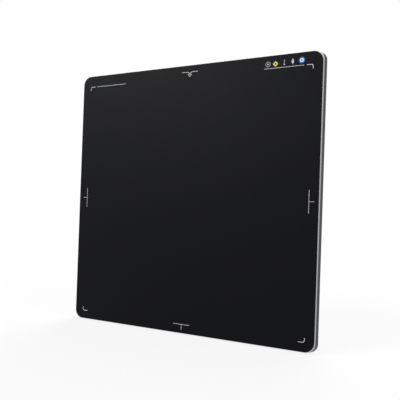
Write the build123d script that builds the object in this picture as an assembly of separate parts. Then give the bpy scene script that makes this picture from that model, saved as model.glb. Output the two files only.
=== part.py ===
"""Cassette-size flat panel x-ray detector: a sealed square panel with a lift-out battery.

The panel stands upright. X is to the right as seen from the front, Z is up, and the imaging
side faces -Y. The origin is the centre of the flat rear plane. Lengths are in millimetres.
A depth is measured from the front face towards the rear.
"""

import os

from build123d import *

# Outside of the panel
panel_size = 460.0
panel_thickness = 15.0
corner_radius = 14.1
plate_corner_radius = 16.0
housing_flare = 1.5
bezel_flare = 0.6
bezel_depth = 4.0
rim_height = 1.5
rear_edge_radius = 0.6

# Gaps between pieces
bond_gap = 0.1
running_gap = 0.3
thread_gap = 0.05

# Corners and cuts
round_end_flat = 0.2
cut_margin = 1.0
board_corner = 1.0
flange_corner = 1.0
foam_corner = 2.0
support_corner = 3.0

# Front plate and the frame that holds it
plate_thickness = 1.6
plate_edge_radius = 0.35
bezel_lip = 0.2
bezel_ledge = 8.0
bezel_ledge_thickness = 1.8
side_wall = 2.5

# Seal between frame and housing
seal_width = 0.9
seal_height = 0.8

# Stack behind the front plate
glass_gap = 1.8
glass_margin = 2.5
shield_margin = 1.5
support_margin = 0.5
foam_thickness = 1.0
scintillator_thickness = 0.6
glass_thickness = 0.7
shield_thickness = 0.3
support_thickness = 1.4

# Rear housing
skin = 1.4
rib_thickness = 1.2
rib_height = 2.0
upper_rib_rise = 58.0
lower_rib_drop = 52.0
upright_rib_x = 70.0

# Screws that close the housing
edge_screws_per_side = 5
edge_screw_end = 40.0
edge_screw_inset = 6.0
boss_radius = 3.0
screw_radius = 1.25
screw_head_radius = 2.2
screw_head_height = 1.4
screw_sink = 0.2
screw_bite = 1.8
socket_sides = 6
socket_size = 1.9
socket_depth = 0.8

# Posts between the support plate and the rear skin
pillar_radius = 4.0
pillar_seat = 1.0
pillar_side_inset = 65.0
pillar_top_inset = 90.0
pillar_bottom_inset = 41.0

# Battery pack and its bay
battery_width = 220.0
battery_height = 110.0
battery_thickness = 6.5
battery_z = -95.0
battery_corner = 4.0
battery_sink = 0.2
battery_gap = 0.4
bay_wall = 1.6
bay_floor = 1.2
casing_wall = 1.0
casing_floor = 0.8
lid_thickness = 1.2
lid_edge = 0.4
cell_count = 4
cell_thickness = 4.2
cell_corner = 2.0
cell_gap = 2.0
cell_side_gap = 2.4
cell_end_gap = 4.0
battery_board_width = 120.0
battery_board_height = 9.0
battery_board_gap = 1.0
battery_board_top_gap = 2.0
grip_groove_count = 5
grip_groove_width = 1.2
grip_groove_pitch = 3.0
grip_groove_length = 34.0
grip_groove_depth = 0.5
bay_seal_width = 2.0
bay_seal_height = 0.6
bay_seal_inset = 3.0
finger_scoop_width = 30.0
finger_scoop_reach = 8.0
finger_scoop_depth = 3.0

# Battery contacts
contact_count = 6
contact_pitch = 4.5
contact_width = 2.4
contact_height = 2.6
contact_thickness = 0.4
contact_block_width = 34.0
contact_block_length = 5.0
contact_block_height = 4.6
contact_nose_width = 29.0
contact_nose_height = 3.4
contact_depth = 10.8

# Sliding locks, one at each side of the battery
lock_travel = 4.0
lock_tongue_width = 8.0
lock_flange_width = 16.0
lock_flange_thickness = 1.2
lock_pad_length = 14.0
lock_pad_width = 10.0
lock_pad_sink = 0.3
lock_cover = 2.0
lock_groove_count = 4
lock_groove_width = 1.0
lock_groove_depth = 0.6
retainer_thickness = 0.8
retainer_post_radius = 2.0
retainer_post_spacing = 20.0
lock_screw_radius = 0.8
lock_screw_head_radius = 1.5
lock_screw_head_height = 0.8
lock_screw_bite = 1.2

# Boards
board_thickness = 1.2
standoff_height = 2.0
standoff_radius = 2.5
board_screw_radius = 1.0
board_screw_head_radius = 1.9
board_screw_head_height = 1.1
board_screw_inset = 4.0
readout_board_side_gap = 13.6
readout_board_height = 32.0
readout_board_gap = 8.0
edge_board_inset = 13.5
gate_board_width = 20.0
gate_board_height = 190.0
gate_board_z = 35.0
main_board_width = 180.0
main_board_height = 140.0
main_board_drop = 30.0
side_board_gap = 22.0
power_board_width = 64.0
power_board_height = 68.0
power_board_drop = 12.0
wireless_width = 60.0
wireless_height = 44.0
wireless_drop = 6.0
shield_can_width = 44.0
shield_can_height = 30.0
shield_can_depth = 1.8
processor_size = 27.0
memory_width = 12.0
memory_height = 9.0
memory_rows = 4
converter_size = 9.0
converter_count = 5
chip_thickness = 2.2
coil_size = 10.0
coil_count = 3
coil_pitch = 16.0
capacitor_radius = 3.0

# Film connectors with their driver chips
film_thickness = 0.15
film_gap = 0.9
film_lap = 8.0
readout_film_width = 24.0
readout_films_per_board = 6
readout_film_end_gap = 8.0
gate_film_width = 18.0
gate_film_count = 7
gate_film_end_gap = 5.0
driver_chip_width = 12.0
driver_chip_height = 2.4
driver_chip_thickness = 0.5
driver_chip_offset = 3.0

# Flat cables between the boards
cable_thickness = 0.3
cable_width = 20.0
cable_lap = 5.0

# Antennas and their windows in the metal housing
antenna_inset = 17.0
window_length = 70.0
window_height = 9.0
window_sink = 0.1
window_flange = 2.0
window_flange_thickness = 0.8
antenna_length = 60.0
antenna_height = 8.0
antenna_thickness = 0.8

# Grip recesses in the rear face
grip_inset = 34.0
grip_width = 16.0
grip_length = 152.0
grip_depth = 2.2
grip_slope = 2.5

# Plate for a rating label
label_width = 120.0
label_height = 56.0
label_z = 62.0
label_corner = 3.0
label_pocket = 0.5
label_thickness = 0.4

# Fittings in the left-hand edge
edge_part_depth = 10.0
port_width = 28.0
port_height = 5.6
port_recess = 1.3
port_flange = 1.5
port_flange_height = 0.7
port_flange_thickness = 1.5
port_body_length = 7.5
port_contact_count = 9
port_contact_pitch = 1.9
port_contact_radius = 0.5
port_contact_proud = 0.2
magnet_radius = 1.9
magnet_length = 2.5
magnet_spacing = 21.0
port_board_height = 36.0
button_width = 12.0
button_height = 5.6
button_travel = 0.8
button_proud = 0.2
button_flange = 1.0
button_flange_thickness = 1.0
plunger_radius = 1.2
plunger_length = 0.5
switch_width = 6.0
switch_height = 3.6
switch_length = 2.4
button_light_spacing = 22.0
light_width = 16.0
light_height = 2.2
light_sink = 0.1
light_count = 3
light_pitch = 5.0
light_chip_size = 1.6
light_chip_thickness = 0.8
edge_board_thickness = 1.0
edge_board_margin = 5.0
edge_board_depth = 6.5
guide_size = 4.0
guide_height = 4.0

# Depths that follow from the values above
foam_depth = plate_thickness
scintillator_depth = foam_depth + foam_thickness
glass_depth = scintillator_depth + scintillator_thickness
shield_depth = glass_depth + glass_thickness
support_depth = shield_depth + shield_thickness
support_back = support_depth + support_thickness
board_depth = support_back + standoff_height
board_back = board_depth + board_thickness
skin_depth = panel_thickness - skin
head_back = panel_thickness - screw_sink
head_seat = head_back - screw_head_height
pillar_back = head_seat - pillar_seat
battery_back = panel_thickness - battery_sink
battery_front = battery_back - battery_thickness
lid_depth = battery_back - lid_thickness
bay_depth = battery_front - running_gap
lock_flange_back = skin_depth - running_gap
lock_flange_depth = lock_flange_back - lock_flange_thickness
retainer_back = lock_flange_depth - running_gap
retainer_depth = retainer_back - retainer_thickness

# Sizes across the panel that follow from the values above
bezel_back_size = panel_size - 2 * housing_flare
bezel_front_size = bezel_back_size - 2 * bezel_flare
plate_pocket_size = bezel_front_size - 2 * bezel_lip
plate_size = plate_pocket_size - 2 * bond_gap
ledge_opening = plate_pocket_size - 2 * bezel_ledge
inner_size = bezel_back_size - 2 * side_wall
glass_size = ledge_opening - 2 * glass_gap
scintillator_size = glass_size - 2 * glass_margin
shield_size = glass_size - 2 * shield_margin
support_size = glass_size - 2 * support_margin
bay_width = battery_width + 2 * battery_gap
bay_height = battery_height + 2 * battery_gap
bay_top = battery_z + bay_height / 2
bay_bottom = battery_z - bay_height / 2
contact_block_top = bay_top + bay_wall + contact_block_length
readout_board_width = (glass_size - readout_board_gap) / 2 - readout_board_side_gap
readout_board_z = glass_size / 2 - edge_board_inset - readout_board_height / 2
readout_board_bottom = readout_board_z - readout_board_height / 2
readout_film_run = readout_board_width - readout_film_width - 2 * readout_film_end_gap
readout_film_pitch = readout_film_run / (readout_films_per_board - 1)
gate_board_x = edge_board_inset + gate_board_width / 2 - glass_size / 2
gate_film_run = gate_board_height - gate_film_width - 2 * gate_film_end_gap
gate_film_pitch = gate_film_run / (gate_film_count - 1)
main_board_top = readout_board_bottom - main_board_drop
main_board_bottom = main_board_top - main_board_height
main_board_z = (main_board_top + main_board_bottom) / 2
side_boards_start = main_board_width / 2 + side_board_gap
wireless_x = side_boards_start + wireless_width / 2
wireless_z = main_board_top - wireless_drop - wireless_height / 2
power_board_x = side_boards_start + power_board_width / 2
power_board_z = wireless_z - wireless_height / 2 - power_board_drop - power_board_height / 2
grip_x = panel_size / 2 - grip_inset

# Battery cells fill the casing up to the notches for the locks
cell_reach = battery_width / 2 + battery_gap - lock_travel - casing_wall - cell_side_gap
cell_spacing = (2 * cell_reach + cell_gap) / cell_count
cell_width = cell_spacing - cell_gap
cell_top = battery_z + battery_height / 2 - casing_wall - battery_board_top_gap
cell_top -= battery_board_height + battery_board_gap
cell_bottom = battery_z - battery_height / 2 + casing_wall + cell_end_gap

# The edge fittings and the antennas lie halfway between the last two screws of a side
edge_screw_span = panel_size - 2 * edge_screw_end
edge_screw_pitch = edge_screw_span / (edge_screws_per_side - 1)
between_screws = (edge_screw_span - edge_screw_pitch) / 2
port_z = -between_screws
button_z = between_screws + button_light_spacing / 2
light_z = between_screws - button_light_spacing / 2
antenna_x = between_screws
antenna_z = panel_size / 2 - antenna_inset

# Rows of pillars, in the gaps that the boards and the battery leave
pillar_side_x = panel_size / 2 - pillar_side_inset
pillar_top_x = panel_size / 2 - pillar_top_inset
pillar_bottom_z = pillar_bottom_inset - panel_size / 2
pillar_middle_z = (contact_block_top + main_board_bottom) / 2
pillar_top_z = (main_board_top + readout_board_bottom) / 2


def corner(size):
    """Corner radius of a square outline.

    The outside has one radius from the front rim to the rear. The front plate's corners are
    rounder, and what lies within the front rim runs parallel to them.
    """
    if size >= bezel_front_size:
        return corner_radius
    return plate_corner_radius - (plate_size - size) / 2


def round_end(width):
    """Corner radius that rounds the ends of a bar of that width, but for a small flat."""
    return (width - round_end_flat) / 2


def plane_at(depth, x=0.0, z=0.0):
    """Plane at a depth, with its x to the right and its y up, facing the front."""
    return Plane(origin=(x, depth - panel_thickness, z), x_dir=(1, 0, 0), z_dir=(0, -1, 0))


def slab(width, height, front, back, x=0.0, z=0.0, radius=0.0):
    """Flat block in the panel's plane, from one depth to a deeper one."""
    outline = RectangleRounded(width, height, radius) if radius else Rectangle(width, height)
    return extrude(plane_at(back, x, z) * outline, back - front)


def square(size, front, back):
    """Square block round the panel's centre, with the corners of its size."""
    return slab(size, size, front, back, radius=corner(size))


def post(radius, front, back, x, z):
    """Round post that stands square to the panel, from one depth to a deeper one."""
    return extrude(plane_at(back, x, z) * Circle(radius), back - front)


def leaning_square(front_size, back_size, front, back):
    """Square block whose sides lean out towards the rear."""
    ends = [(front_size, front), (back_size, back)]
    outlines = [plane_at(depth) * RectangleRounded(size, size, corner(size)) for size, depth in ends]
    return loft(outlines, ruled=True)


def edge_bar(width, height, outer, inner, z, depth=edge_part_depth, radius=0.0):
    """Bar through the left-hand edge, its width upwards and its height across the thickness.

    outer and inner are distances from the panel's centre.
    """
    face = Plane(origin=(-inner, depth - panel_thickness, z), x_dir=(0, 0, 1), z_dir=(-1, 0, 0))
    outline = RectangleRounded(width, height, radius) if radius else Rectangle(width, height)
    return extrude(face * outline, outer - inner)


def edge_pin(radius, outer, inner, z, depth=edge_part_depth):
    """Round pin through the left-hand edge."""
    face = Plane(origin=(-inner, depth - panel_thickness, z), x_dir=(0, 0, 1), z_dir=(-1, 0, 0))
    return extrude(face * Circle(radius), outer - inner)


def group(pieces):
    """Like pieces kept as separate solids in one node."""
    return Compound(children=list(pieces))


def spread(count, pitch):
    """Evenly spaced places on both sides of zero."""
    return [(index - (count - 1) / 2) * pitch for index in range(count)]


def edge_screw_places():
    """Centre of each closing screw along the four sides."""
    reach = panel_size / 2 - edge_screw_inset
    places = []
    for along in spread(edge_screws_per_side, edge_screw_pitch):
        places += [(along, reach), (along, -reach), (reach, along), (-reach, along)]
    return places


def pillar_places():
    """Centre of each post between the support plate and the rear skin."""
    rows = (
        (pillar_bottom_z, pillar_side_x),
        (pillar_middle_z, pillar_side_x),
        (pillar_top_z, pillar_top_x),
    )
    return [(x, z) for z, side in rows for x in (-side, 0.0, side)]


# Front plate and frame


def make_front_plate():
    plate = square(plate_size, 0, plate_thickness)
    rim = plate.faces().sort_by(Axis.Y)[0].edges()
    return fillet(rim, plate_edge_radius)


def make_front_bezel():
    ledge_back = plate_thickness + bezel_ledge_thickness
    bezel = leaning_square(bezel_front_size, bezel_back_size, 0, bezel_depth)
    bezel -= square(plate_pocket_size, 0, plate_thickness)
    bezel -= slab(ledge_opening, ledge_opening, plate_thickness, bezel_depth, radius=boss_radius)
    bezel -= square(inner_size, ledge_back, bezel_depth)
    hole_end = bezel_depth - screw_bite - thread_gap
    for x, z in edge_screw_places():
        bezel += post(boss_radius, ledge_back, bezel_depth, x, z)
        bezel -= post(screw_radius + thread_gap, hole_end, bezel_depth, x, z)
    return bezel


def make_seal_gasket():
    """Cord in a groove that runs in the middle of the side wall."""
    outer = inner_size + side_wall + seal_width
    back = bezel_depth + seal_height
    return square(outer, bezel_depth, back) - square(outer - 2 * seal_width, bezel_depth, back)


def make_edge_screws():
    tip = bezel_depth - screw_bite
    return group(make_screw(x, z, tip) for x, z in edge_screw_places())


def make_screw(x, z, tip):
    """Screw that goes in from the rear, with a hexagon socket in its head."""
    screw = post(screw_radius, tip, head_seat, x, z)
    screw += post(screw_head_radius, head_seat, head_back, x, z)
    socket = plane_at(head_back, x, z) * RegularPolygon(socket_size / 2, socket_sides)
    return screw - extrude(socket, socket_depth)


# Rear housing


def screw_way(x, z):
    """Hole for a closing screw and its sunk head."""
    hole = post(screw_radius + bond_gap, bezel_depth, head_seat, x, z)
    return hole + post(screw_head_radius + bond_gap, head_seat, panel_thickness, x, z)


def lock_sizes():
    """Places along X of the right-hand lock when it is released."""
    tip = bay_width / 2 + running_gap
    wall = bay_width / 2 + bay_wall
    flange_start = wall + running_gap + lock_travel
    pad_start = flange_start + lock_cover + running_gap + lock_travel
    pad_end = pad_start + lock_pad_length
    flange_end = pad_end + running_gap + lock_travel + lock_cover
    return {
        "tip": tip,
        "wall": wall,
        "flange_start": flange_start,
        "pad_start": pad_start,
        "pad_end": pad_end,
        "flange_end": flange_end,
    }


def between(start, end, height, front, back, z):
    """Flat block from one X to another."""
    return slab(end - start, height, front, back, x=(start + end) / 2, z=z)


def both_sides(shape):
    """A shape and its mirror image across the panel's upright middle plane."""
    return [shape, mirror(shape, about=Plane.YZ)]


def retainer_post_places():
    """Posts that carry the right-hand lock's retainer."""
    lock = lock_sizes()
    middle = (lock["pad_start"] + lock["pad_end"] - lock_travel) / 2
    rise = lock_flange_width / 2 + running_gap + retainer_post_radius
    places = []
    for x in spread(2, retainer_post_spacing):
        places += [(middle + x, battery_z + rise), (middle + x, battery_z - rise)]
    return places


def add_lock_seats(housing):
    lock = lock_sizes()
    tongue_way = lock_tongue_width + 2 * running_gap
    window_start = lock["pad_start"] - lock_travel - running_gap
    window_end = lock["pad_end"] + running_gap
    window_height = lock_pad_width + 2 * running_gap
    for x, z in retainer_post_places():
        for seat in both_sides(post(retainer_post_radius, retainer_back, skin_depth, x, z)):
            housing += seat
        hole_end = retainer_back + lock_screw_bite + bond_gap
        for cut in both_sides(post(lock_screw_radius + thread_gap, retainer_back, hole_end, x, z)):
            housing -= cut
    slot_start = bay_width / 2 - bond_gap
    slot_end = lock["wall"] + bond_gap
    slot = between(slot_start, slot_end, tongue_way, retainer_back, skin_depth, battery_z)
    window = between(window_start, window_end, window_height, skin_depth, panel_thickness, battery_z)
    for cut in both_sides(slot) + both_sides(window):
        housing -= cut
    return housing


def scoop(x):
    """Grip recess whose sides slope inwards."""
    outlines = []
    for shrink, depth in ((0.0, panel_thickness), (2 * grip_slope, panel_thickness - grip_depth)):
        width = grip_width - shrink
        outline = RectangleRounded(width, grip_length - shrink, round_end(width))
        outlines.append(plane_at(depth, x) * outline)
    return loft(outlines, ruled=True)


def edge_fitting_holes():
    """Openings in the left-hand wall for the port, the button and the status light."""
    outer = panel_size / 2 + cut_margin
    inner = inner_size / 2 - cut_margin
    sizes = (
        (port_width, port_height, port_z),
        (button_width, button_height, button_z),
        (light_width, light_height, light_z),
    )
    return [edge_bar(width, height, outer, inner, z, radius=round_end(height)) for width, height, z in sizes]


def edge_board_inner():
    """Distance from the panel's centre to the inner face of the board behind the button."""
    switch_top = inner_size / 2 - running_gap - button_flange_thickness - button_travel - running_gap
    return switch_top - plunger_length - switch_length - edge_board_thickness


def side_board_ends():
    low = light_z - light_width / 2 - edge_board_margin
    high = button_z + button_width / 2 + edge_board_margin
    return low, high


def edge_board_guides():
    """Slotted blocks that hold the small board behind the button."""
    inner = edge_board_inner()
    middle = inner + edge_board_thickness / 2
    guides = []
    for end in side_board_ends():
        block = slab(guide_size, guide_size, skin_depth - guide_height, skin_depth, x=-middle, z=end)
        guides.append(block)
    low, high = side_board_ends()
    way = edge_board_thickness + 2 * bond_gap
    length = high - low + 2 * bond_gap
    slot = slab(way, length, skin_depth - guide_height, skin_depth, x=-middle, z=(low + high) / 2)
    return [guide - slot for guide in guides]


def housing_ribs():
    """Ribs on the inside of the rear skin."""
    front = skin_depth - rib_height
    below_bay = (bay_bottom - bay_wall + pillar_bottom_z) / 2
    places = (main_board_z + upper_rib_rise, main_board_z - lower_rib_drop, below_bay)
    ribs = [slab(2 * grip_x - grip_width, rib_thickness, front, skin_depth, z=z) for z in places]
    top = antenna_z - window_height / 2 - window_flange - running_gap
    for x in (-upright_rib_x, upright_rib_x):
        ribs.append(slab(rib_thickness, top - bay_top, front, skin_depth, x=x, z=(top + bay_top) / 2))
    return ribs


def make_rear_housing():
    rim_depth = panel_thickness - rim_height
    housing = leaning_square(bezel_back_size, panel_size, bezel_depth, rim_depth)
    housing += square(panel_size, rim_depth, panel_thickness)
    housing = fillet(housing.faces().sort_by(Axis.Y)[-1].edges(), rear_edge_radius)
    housing -= square(inner_size, bezel_depth, skin_depth)
    for rib in housing_ribs():
        housing += rib
    for x, z in edge_screw_places():
        housing += post(boss_radius, bezel_depth, skin_depth, x, z)
    for x, z in pillar_places():
        housing += post(pillar_radius, pillar_back, skin_depth, x, z)
    housing += slab(
        bay_width + 2 * bay_wall,
        bay_height + 2 * bay_wall,
        bay_depth - bay_floor,
        skin_depth,
        z=battery_z,
        radius=battery_corner + bay_wall,
    )
    scoop_z = bay_bottom - finger_scoop_reach / 2
    scoop_floor = panel_thickness - finger_scoop_depth
    housing += slab(
        finger_scoop_width + 2 * bay_wall,
        finger_scoop_reach + 2 * bay_wall,
        scoop_floor - skin,
        skin_depth,
        z=scoop_z,
    )
    for x in (-grip_x, grip_x):
        housing += slab(
            grip_width + 2 * skin,
            grip_length + 2 * skin,
            skin_depth - grip_depth,
            skin_depth,
            x=x,
            radius=grip_width / 2,
        )
        housing -= scoop(x)
    housing -= slab(
        bay_width, bay_height, bay_depth, panel_thickness, z=battery_z, radius=battery_corner + battery_gap
    )
    housing -= slab(
        finger_scoop_width,
        finger_scoop_reach + 2 * battery_corner,
        scoop_floor,
        panel_thickness,
        z=scoop_z + battery_corner,
        radius=battery_corner,
    )
    housing -= bay_seal_ring()
    housing -= make_seal_gasket()
    housing -= slab(
        contact_nose_width,
        bay_wall + 2 * bond_gap,
        contact_depth - contact_nose_height / 2,
        contact_depth + contact_nose_height / 2,
        z=bay_top + bay_wall / 2,
    )
    housing = add_lock_seats(housing)
    for x, z in edge_screw_places() + pillar_places():
        housing -= screw_way(x, z)
    for x in (-antenna_x, antenna_x):
        housing -= slab(
            window_length,
            window_height,
            skin_depth,
            panel_thickness,
            x=x,
            z=antenna_z,
            radius=round_end(window_height),
        )
    housing -= slab(
        label_width,
        label_height,
        panel_thickness - label_pocket,
        panel_thickness,
        z=label_z,
        radius=label_corner,
    )
    for hole in edge_fitting_holes():
        housing -= hole
    for guide in edge_board_guides():
        housing += guide
    return housing


def make_id_plate():
    back = panel_thickness - label_pocket + label_thickness
    width = label_width - 2 * bond_gap
    height = label_height - 2 * bond_gap
    return slab(width, height, panel_thickness - label_pocket, back, z=label_z, radius=label_corner)


# Layers behind the front plate


def make_foam_pad():
    return slab(glass_size, glass_size, foam_depth, scintillator_depth, radius=foam_corner)


def make_scintillator_panel():
    return slab(scintillator_size, scintillator_size, scintillator_depth, glass_depth)


def make_tft_glass_panel():
    return slab(glass_size, glass_size, glass_depth, shield_depth)


def make_lead_shield():
    return slab(shield_size, shield_size, shield_depth, support_depth)


def make_support_plate():
    return slab(support_size, support_size, support_depth, support_back, radius=support_corner)


def make_support_pillars():
    pillars = []
    hole_end = pillar_back - screw_bite - thread_gap
    for x, z in pillar_places():
        pillar = post(pillar_radius, support_back, pillar_back, x, z)
        pillars.append(pillar - post(screw_radius + thread_gap, hole_end, pillar_back, x, z))
    return group(pillars)


def make_pillar_screws():
    return group(make_screw(x, z, pillar_back - screw_bite) for x, z in pillar_places())


# Boards


def board_places():
    """Width, height, x and z of each board on the support plate."""
    readout_x = (readout_board_width + readout_board_gap) / 2
    return {
        "readout_board_left": (readout_board_width, readout_board_height, -readout_x, readout_board_z),
        "readout_board_right": (readout_board_width, readout_board_height, readout_x, readout_board_z),
        "gate_board": (gate_board_width, gate_board_height, gate_board_x, gate_board_z),
        "main_board": (main_board_width, main_board_height, 0.0, main_board_z),
        "power_board": (power_board_width, power_board_height, power_board_x, power_board_z),
        "wireless_board": (wireless_width, wireless_height, wireless_x, wireless_z),
    }


def board_screw_places(name):
    """Corner screws of a board, kept off the side where the films arrive."""
    width, height, x, z = board_places()[name]
    across = width / 2 - board_screw_inset
    up = height / 2 - board_screw_inset
    down = up
    if name.startswith("readout"):
        up -= film_lap
    if name == "gate_board":
        return [(x + across, z + up), (x + across, z - down)]
    return [(x + sx, z + sz) for sx in (-across, across) for sz in (-down, up)]


def make_board(name):
    width, height, x, z = board_places()[name]
    board = slab(width, height, board_depth, board_back, x=x, z=z, radius=board_corner)
    for hole_x, hole_z in board_screw_places(name):
        board -= post(board_screw_radius + thread_gap, board_depth, board_back, hole_x, hole_z)
    return board


def all_board_screw_places():
    return [place for name in board_places() for place in board_screw_places(name)]


def make_board_standoffs():
    standoffs = []
    hole_radius = board_screw_radius + thread_gap
    for x, z in all_board_screw_places():
        standoff = post(standoff_radius, support_back, board_depth, x, z)
        standoffs.append(standoff - post(hole_radius, support_back, board_depth, x, z))
    return group(standoffs)


def make_board_screws():
    screws = []
    head_top = board_back + board_screw_head_height
    for x, z in all_board_screw_places():
        screw = post(board_screw_radius, support_back + bond_gap, board_back, x, z)
        screws.append(screw + post(board_screw_head_radius, board_back, head_top, x, z))
    return group(screws)


def make_main_chips():
    """Image processor in the middle, with its memories and converters round it."""
    top = board_back + chip_thickness
    chips = [slab(processor_size, processor_size, board_back, top, z=main_board_z)]
    low = board_back + chip_thickness / 2
    for x in spread(2, 2 * processor_size):
        for z in spread(memory_rows, memory_width):
            chips.append(slab(memory_width, memory_height, board_back, low, x=x, z=main_board_z + z))
    for x in spread(converter_count, processor_size):
        place = main_board_top - memory_width
        chips.append(slab(converter_size, converter_size, board_back, low, x=x, z=place))
    return group(chips)


def make_heat_pad():
    front = board_back + chip_thickness
    return slab(processor_size, processor_size, front, skin_depth, z=main_board_z)


def make_power_parts():
    """Coils and flat capacitors of the supply board."""
    top = board_back + chip_thickness
    parts = []
    for offset in spread(coil_count, coil_pitch):
        x = power_board_x + offset
        parts.append(slab(coil_size, coil_size, board_back, top, x=x, z=power_board_z + coil_size))
        parts.append(post(capacitor_radius, board_back, top, x, power_board_z - coil_size))
    return group(parts)


def make_wireless_can():
    can_back = board_back + shield_can_depth
    return slab(
        shield_can_width,
        shield_can_height,
        board_back,
        can_back,
        x=wireless_x,
        z=wireless_z,
        radius=board_corner,
    )


def film(width, x, lap, turn):
    """Film from the glass's top edge round the support plate to a board, with its chip.

    It is drawn at the top edge, reaches down to lap on the board, and is turned about the centre.
    """
    bond = scintillator_size / 2 + running_gap
    inside = glass_size / 2 + film_gap
    outside = inside + film_thickness
    start = glass_depth - film_thickness
    chip_back = board_depth - film_thickness
    chip_front = chip_back - driver_chip_thickness
    chip_z = glass_size / 2 - driver_chip_offset
    piece = slab(width, outside - bond, start, glass_depth, x=x, z=(outside + bond) / 2)
    piece += slab(width, film_thickness, start, board_depth, x=x, z=(outside + inside) / 2)
    piece += slab(width, outside - lap, chip_back, board_depth, x=x, z=(outside + lap) / 2)
    piece += slab(driver_chip_width, driver_chip_height, chip_front, chip_back, x=x, z=chip_z)
    return piece.rotate(Axis.Y, turn)


def make_readout_flexes():
    lap = readout_board_bottom + readout_board_height - film_lap
    films = []
    for side in (-1, 1):
        middle = side * (readout_board_width + readout_board_gap) / 2
        for x in spread(readout_films_per_board, readout_film_pitch):
            films.append(film(readout_film_width, middle + x, lap, 0))
    return group(films)


def make_gate_flexes():
    lap = -(gate_board_x - gate_board_width / 2) - film_lap
    places = spread(gate_film_count, gate_film_pitch)
    return group(film(gate_film_width, gate_board_z + x, lap, -90) for x in places)


def flat_cable(width, height, x, z):
    return slab(width, height, board_back, board_back + cable_thickness, x=x, z=z)


def make_board_cables():
    """Flat cables that bridge the gaps between neighbouring boards, on their rear faces."""
    readout_x = main_board_width / 2 - cable_width
    rise = readout_board_bottom - main_board_top + 2 * cable_lap
    cables = [flat_cable(cable_width, rise, x, pillar_top_z) for x in (-readout_x, readout_x)]
    gate_edge = gate_board_x + gate_board_width / 2
    reach = -gate_edge - main_board_width / 2 + 2 * cable_lap
    cables.append(flat_cable(reach, cable_width, (gate_edge - main_board_width / 2) / 2, main_board_z))
    for x, width, z in (
        (power_board_x, power_board_width, power_board_z),
        (wireless_x, wireless_width, wireless_z),
    ):
        near = x - width / 2
        reach = near - main_board_width / 2 + 2 * cable_lap
        cables.append(flat_cable(reach, cable_width, (near + main_board_width / 2) / 2, z))
    return group(cables)


def make_antenna(x):
    back = skin_depth - window_flange_thickness
    front = back - antenna_thickness
    return slab(antenna_length, antenna_height, front, back, x=x, z=antenna_z, radius=board_corner)


def make_antenna_window(x):
    length = window_length - 2 * bond_gap
    height = window_height - 2 * bond_gap
    back = panel_thickness - window_sink
    window = slab(length, height, skin_depth, back, x=x, z=antenna_z, radius=round_end(height))
    flange = slab(
        window_length + 2 * window_flange,
        window_height + 2 * window_flange,
        skin_depth - window_flange_thickness,
        skin_depth,
        x=x,
        z=antenna_z,
        radius=window_flange,
    )
    return window + flange


# Battery


def lock_notch(wall=0.0):
    """Notch that the right-hand lock's tongue enters, or the block round it with a wall."""
    inner = lock_sizes()["tip"] - lock_travel - running_gap - wall
    height = lock_tongue_width + 2 * running_gap + 2 * wall
    return between(inner, battery_width / 2, height, retainer_back - wall, lid_depth, battery_z)


def terminal_places():
    return spread(contact_count, contact_pitch)


def make_battery_terminals():
    top = battery_z + battery_height / 2
    front = contact_depth - contact_height / 2
    back = contact_depth + contact_height / 2
    z = top - contact_thickness / 2
    return group(slab(contact_width, contact_thickness, front, back, x=x, z=z) for x in terminal_places())


def battery_slab(front, back):
    """Block of the battery's outline."""
    return slab(battery_width, battery_height, front, back, z=battery_z, radius=battery_corner)


def make_battery_casing():
    casing = battery_slab(battery_front, lid_depth)
    casing -= slab(
        battery_width - 2 * casing_wall,
        battery_height - 2 * casing_wall,
        battery_front + casing_floor,
        lid_depth,
        z=battery_z,
        radius=battery_corner - casing_wall,
    )
    for block in both_sides(lock_notch(casing_wall)):
        casing += block
    for notch in both_sides(lock_notch()):
        casing -= notch
    for terminal in make_battery_terminals().solids():
        casing -= terminal
    return casing


def make_battery_lid():
    lid = battery_slab(lid_depth, battery_back)
    lid = chamfer(lid.faces().sort_by(Axis.Y)[-1].edges(), lid_edge)
    groove_z = battery_z - battery_height / 2 + grip_groove_pitch * grip_groove_count
    for z in spread(grip_groove_count, grip_groove_pitch):
        lid -= slab(
            grip_groove_length,
            grip_groove_width,
            battery_back - grip_groove_depth,
            battery_back,
            z=groove_z + z,
            radius=round_end(grip_groove_width),
        )
    return lid


def make_battery_cells():
    front = battery_front + casing_floor
    back = front + cell_thickness
    height = cell_top - cell_bottom
    middle = (cell_top + cell_bottom) / 2
    return group(
        slab(cell_width, height, front, back, x=x, z=middle, radius=cell_corner)
        for x in spread(cell_count, cell_spacing)
    )


def make_battery_board():
    front = battery_front + casing_floor
    middle = cell_top + battery_board_gap + battery_board_height / 2
    return slab(battery_board_width, battery_board_height, front, front + board_thickness, z=middle)


def bay_seal_ring():
    """Ring in the floor of the battery bay."""
    width = battery_width - 2 * bay_seal_inset
    height = battery_height - 2 * bay_seal_inset
    front = bay_depth - bay_seal_height
    outer = slab(width, height, front, bay_depth, z=battery_z, radius=battery_corner)
    inner = slab(
        width - 2 * bay_seal_width,
        height - 2 * bay_seal_width,
        front,
        bay_depth,
        z=battery_z,
        radius=battery_corner - bay_seal_width,
    )
    return outer - inner


def make_contact_block():
    block = slab(
        contact_block_width,
        contact_block_length,
        contact_depth - contact_block_height / 2,
        contact_depth + contact_block_height / 2,
        z=contact_block_top - contact_block_length / 2,
    )
    block += slab(
        contact_nose_width - 2 * bond_gap,
        bay_wall,
        contact_depth - contact_nose_height / 2 + bond_gap,
        contact_depth + contact_nose_height / 2 - bond_gap,
        z=bay_top + bay_wall / 2,
    )
    for blade in make_contact_blades().solids():
        block -= blade
    return block


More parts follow.
